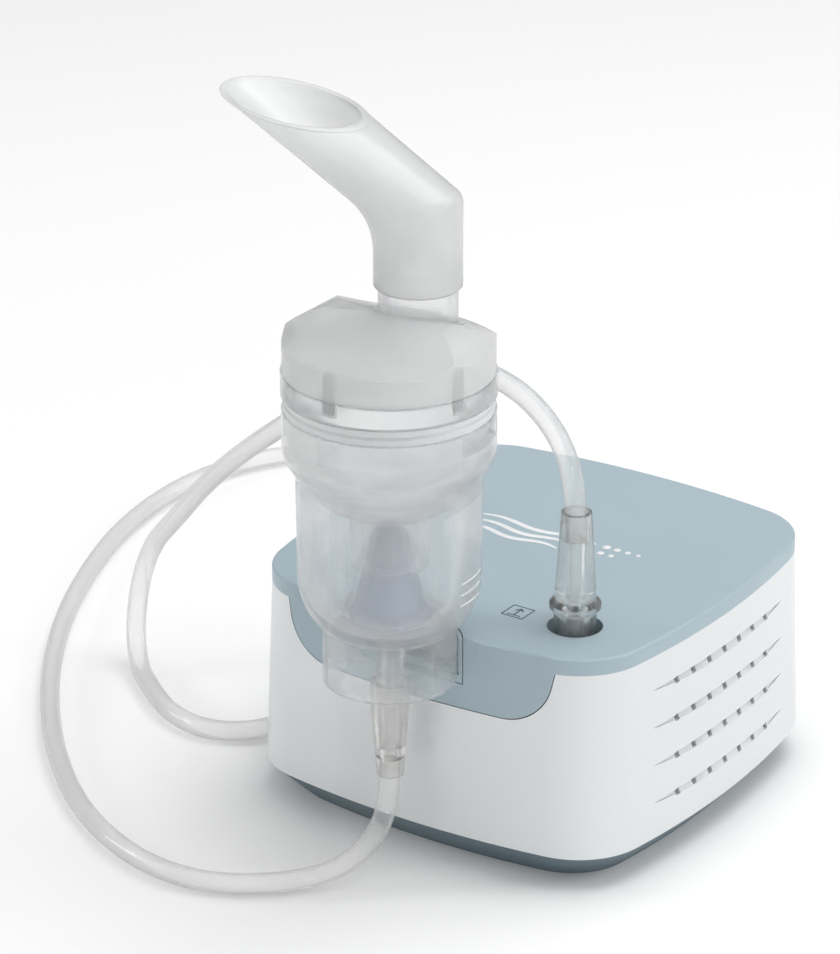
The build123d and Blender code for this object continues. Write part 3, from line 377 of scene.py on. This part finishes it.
# ------------------------------------------------------------------ mouthpiece
CUP_Y = -74.8
CHIMNEY_Y = -60.8
SLEEVE_RADIUS = 12.2
SLEEVE_BOTTOM = 170.9
SLEEVE_KNEE = 176.0        # where the sleeve starts to lead into the bend
BEND_LOW, BEND_HIGH = 189.0, 197.5
RIM_CENTRE = (-41.0, 215.0)
RIM_HALVES = (22.0, 15.0)
RIM_TILT = 6.0
MOUTH_WALL = 1.2
BEAD_RADIUS = 0.95
BEND_STEPS = 12
RIM_STEPS = 10
RING_STEPS = 96


def mouth_section(angle, inset):
    """The four corner points that the mouthpiece's wall runs through at an angle round it."""
    radius = SLEEVE_RADIUS - inset
    across, beside = radius * math.cos(angle), radius * math.sin(angle)
    slope = (BEND_HIGH - BEND_LOW) / (2 * SLEEVE_RADIUS)
    middle = (BEND_LOW + BEND_HIGH) / 2
    tilt = math.radians(RIM_TILT)
    reach = (RIM_HALVES[0] - inset) * math.cos(angle)
    side = (RIM_HALVES[1] - inset) * math.sin(angle)
    return [
        Vector((across, beside, SLEEVE_BOTTOM)),
        Vector((across, beside, SLEEVE_KNEE)),
        Vector((across, beside, middle + slope * across)),
        Vector((RIM_CENTRE[0] + reach * math.cos(tilt), side, RIM_CENTRE[1] - reach * math.sin(tilt))),
    ]


def mouth_line(angle, inset):
    """Points up the mouthpiece's wall: straight, round the bend, and out to the rim."""
    foot, knee, bend, rim = mouth_section(angle, inset)
    inner_side = 0.5 - 0.5 * math.cos(angle)
    rounding = 1.6 + 8.5 * inner_side
    into = bend + (knee - bend).normalized() * min(rounding, (knee - bend).length)
    out = bend + (rim - bend).normalized() * rounding
    points = [foot, foot.lerp(into, 0.5), into]
    for step in range(1, BEND_STEPS):
        share = step / BEND_STEPS
        points.append(into.lerp(bend, share).lerp(bend.lerp(out, share), share))
    points += [out.lerp(rim, step / RIM_STEPS) for step in range(RIM_STEPS + 1)]
    return points


def add_mouthpiece(materials):
    """The bent mouthpiece, a thin wall that widens to an oval rim with a rounded bead."""
    lines = []
    for step in range(RING_STEPS):
        angle = 2 * math.pi * step / RING_STEPS
        outer = mouth_line(angle, 0)
        inner = mouth_line(angle, MOUTH_WALL)
        along = (outer[-1] - outer[-2]).normalized()
        outward = (outer[-1] - inner[-1]).normalized()
        chamfer = outer[0] + (inner[0] - outer[0]) * 0.35
        outer[0] = outer[0] + Vector((0, 0, 0.5))
        base = outer[-1] - along * 1.9
        bead = []
        for turn in range(9):
            swing = math.radians(-80 + 32.5 * turn)
            centre = (outer[-1] + inner[-1]) / 2 - along * 0.6
            across = outward * (BEAD_RADIUS * math.cos(swing))
            bead.append(centre + across + along * (BEAD_RADIUS * math.sin(swing)))
        lines.append([chamfer, *outer[:-1], base, *bead, *reversed(inner[:-1])])
    points = [(p.x, p.y + CHIMNEY_Y, p.z) for ring in zip(*lines) for p in ring]
    faces = tube_faces(len(lines[0]), RING_STEPS)
    piece = mesh_piece(
        "mouthpiece_wall", points, faces, materials["mouth_clear"], "mouthpiece"
    )
    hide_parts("mouthpiece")
    return sharpened(piece, 50)


# ------------------------------------------------------------------ cap clips
CLIP_ANGLES = (-165, -90, -15)
CLIP_FOOT_HALF, CLIP_TOP_HALF = 3.2, 2.9     # half widths, in degrees round the cup
# each level of a clip: its half width, inner and outer radius, and height
CLIP_LEVELS = (
    (CLIP_FOOT_HALF, 27.3, 28.65, 147.6), (CLIP_FOOT_HALF, 27.3, 28.9, 149.0),
    (CLIP_TOP_HALF, 27.3, 28.9, 158.0), (CLIP_TOP_HALF, 27.3, 27.9, 159.4),
)


def add_cap_clips(materials):
    """The cap's three snap legs: upright bars with a slanted head, seen through its milky wall."""
    for index, middle in enumerate(CLIP_ANGLES):
        points = []
        for half, inner, outer, height in CLIP_LEVELS:
            for reach, side in ((inner, -half), (outer, -half), (outer, half), (inner, half)):
                angle = math.radians(middle + side)
                points.append((reach * math.cos(angle), CUP_Y + reach * math.sin(angle), height))
        faces = tube_faces(4, 4, closed_loop=False) + [(3, 2, 1, 0), (12, 13, 14, 15)]
        clip = mesh_piece(f"cap_clip_{index + 1}", points, faces, materials["clip_grey"], "cap")
        bevel = clip.modifiers.new("bevel", "BEVEL")
        bevel.width = 0.25 * MM
        bevel.segments = 3
        sharpened(clip, 30)


# ------------------------------------------------------------------ printed marks
PRINT_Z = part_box("top_cover")[1].z / MM
PRINT_THICKNESS = 0.06


def ribbon_points(line, width):
    """Points of a flat band with a thickness, along a line of (x, y) points."""
    points = []
    for index, (x, y) in enumerate(line):
        before = line[max(index - 1, 0)]
        after = line[min(index + 1, len(line) - 1)]
        run = math.hypot(after[0] - before[0], after[1] - before[1])
        normal = (-(after[1] - before[1]) / run, (after[0] - before[0]) / run)
        half = (width[index] if isinstance(width, list) else width) / 2
        top = PRINT_Z + PRINT_THICKNESS
        for side, z in ((-half, PRINT_Z), (half, PRINT_Z), (half, top), (-half, top)):
            points.append((x + normal[0] * side, y + normal[1] * side, z))
    return points


def ribbon_faces(count, start):
    """Faces of one such band, whose points begin at an index."""
    faces = []
    for index in range(count - 1):
        here = start + 4 * index
        for side in range(4):
            turn = (side + 1) % 4
            faces.append((here + side, here + turn, here + 4 + turn, here + 4 + side))
    last = start + 4 * (count - 1)
    return [*faces, (start, start + 3, start + 2, start + 1), (last, last + 1, last + 2, last + 3)]


def add_bands(name, bands, material):
    """One printed piece of several flat bands, each a line of points with its width."""
    points, faces = [], []
    for line, width in bands:
        faces += ribbon_faces(len(line), len(points))
        points += ribbon_points(line, width)
    return mesh_piece(name, points, faces, material, "compressor")


def wave(start, length, y, height, waves, steps=60):
    """A wavy line that starts level, with its widths, thin at both ends."""
    line, width = [], []
    for step in range(steps + 1):
        share = step / steps
        line.append((start + length * share, y + height * math.sin(2 * math.pi * waves * share)))
        width.append(0.3 + 1.7 * math.sin(math.pi * share) ** 0.6)
    return line, width


def ring_line(x, y, radius, steps=24):
    """A round line."""
    turns = [2 * math.pi * step / steps for step in range(steps + 1)]
    return [(x + radius * math.cos(turn), y + radius * math.sin(turn)) for turn in turns]


def add_prints(materials):
    """A generic mist mark and a generic air-outlet symbol on the top cover."""
    mist = [wave(-26, 40 - 4 * row, 10.8 - 4.4 * row, 1.1, 1.5) for row in range(3)]
    for column in range(4):
        for row in range(3 - (column + 1) // 2):
            radius = 1.35 - 0.2 * column
            centre = (17.5 + 3.6 * column - 3 * row, 10.8 - 4.4 * row)
            mist.append((ring_line(*centre, radius / 2), radius))
    add_bands("mist_mark", mist, materials["print_white"])
    x, y, half = 20.1, -40.5, 3.4
    frame_line = [(x - half, y - half), (x + half, y - half), (x + half, y + half), (x - half, y + half)]
    symbol = [([here, there], 0.36) for here, there in zip(frame_line, frame_line[1:] + frame_line[:1])]
    symbol.append(([(x, y - 2.2), (x, y + 1.9)], 0.45))
    symbol.append(([(x - 1.3, y + 0.6), (x, y + 2.1)], 0.45))
    symbol.append(([(x + 1.3, y + 0.6), (x, y + 2.1)], 0.45))
    symbol.append(([(x - 2.1, y - 2.3), (x + 2.1, y - 2.3)], 0.4))
    add_bands("outlet_symbol", symbol, materials["print_dark"])


MEASURE_HEIGHTS = (88.0, 91.2, 94.4)
MEASURE_STEPS = 14
MEASURE_START = -6          # degrees round the cup


def add_measure_lines(materials):
    """Short raised measuring lines low on the bowl's right front, on the handset."""
    points, faces = [], []
    for row, height in enumerate(MEASURE_HEIGHTS):
        first = len(points)
        radius = 25.32 + 0.03 * row
        for step in range(MEASURE_STEPS + 1):
            angle = math.radians(MEASURE_START + (24 + 2 * row) * step / MEASURE_STEPS)
            for out, z in ((0, -0.22), (0.16, -0.14), (0.16, 0.14), (0, 0.22)):
                reach = radius + out
                points.append((reach * math.cos(angle), CUP_Y + reach * math.sin(angle), height + z))
        faces += ribbon_faces(MEASURE_STEPS + 1, first)
    mesh_piece("measure_lines", points, faces, materials["print_white"], "handset")


# ------------------------------------------------------------------ stage
FLOOR_HALF = 6
WORLD_STRENGTH = 0.62
LIGHT_AIM = Vector((0, -0.02, 0.08))
# each light: its name, place, size and power in watts
LIGHTS = (
    ("light_left", (-1.05, -0.45, 0.45), 0.3, 2.6),
    ("light_corner", (0.97, -0.70, 0.30), 0.16, 2.2),
    ("light_right", (1.1, 0.5, 0.8), 0.6, 4.0),
    ("light_top", (0.2, 0.4, 1.5), 1.1, 11.5),
)


def add_stage():
    """A plain pale floor, with soft light from above and both sides."""
    mesh = bpy.data.meshes.new("floor")
    half = FLOOR_HALF
    corners = [(-half, -half, 0), (half, -half, 0), (half, half, 0), (-half, half, 0)]
    mesh.from_pydata(corners, [], [(0, 1, 2, 3)])
    floor = bpy.data.objects.new("floor", mesh)
    scene.collection.objects.link(floor)
    dress(floor, plastic("floor_pale", (0.92, 0.92, 0.92), 0.9))
    world = bpy.data.worlds.new("studio")
    world.use_nodes = True
    sky = world.node_tree
    place = sky.nodes.new("ShaderNodeTexCoord")
    height = sky.nodes.new("ShaderNodeSeparateXYZ")
    ramp = sky.nodes.new("ShaderNodeValToRGB")
    ramp.color_ramp.elements[0].position = 0.42
    ramp.color_ramp.elements[0].color = (0.30, 0.31, 0.32, 1)
    ramp.color_ramp.elements[1].position = 0.85
    ramp.color_ramp.elements[1].color = (1, 1, 1, 1)
    shift = sky.nodes.new("ShaderNodeMapRange")
    shift.inputs["From Min"].default_value = -1
    sky.links.new(place.outputs["Generated"], height.inputs["Vector"])
    sky.links.new(height.outputs["Z"], shift.inputs["Value"])
    sky.links.new(shift.outputs["Result"], ramp.inputs["Fac"])
    sky.links.new(ramp.outputs["Color"], sky.nodes["Background"].inputs["Color"])
    sky.nodes["Background"].inputs["Strength"].default_value = WORLD_STRENGTH
    scene.world = world
    for name, place, size, power in LIGHTS:
        data = bpy.data.lights.new(name, "AREA")
        data.size = size
        data.energy = power
        light = bpy.data.objects.new(name, data)
        light.location = place
        aim = LIGHT_AIM - Vector(place)
        light.rotation_euler = aim.to_track_quat("-Z", "Y").to_euler()
        scene.collection.objects.link(light)
    scene.view_settings.view_transform = "Standard"


add_camera()
materials = make_materials()
add_air_hose(materials)
add_mouthpiece(materials)
add_prints(materials)
add_measure_lines(materials)
add_cap_clips(materials)
OWN_LOOK = {"valve_cap": "cap_milky"}
for part in frame["record"]["subparts"]:
    node = nodes[part["node"]]
    if not node.hide_render:
        dress(node, materials[OWN_LOOK.get(part["node"], part["material_slot"])])
add_stage()
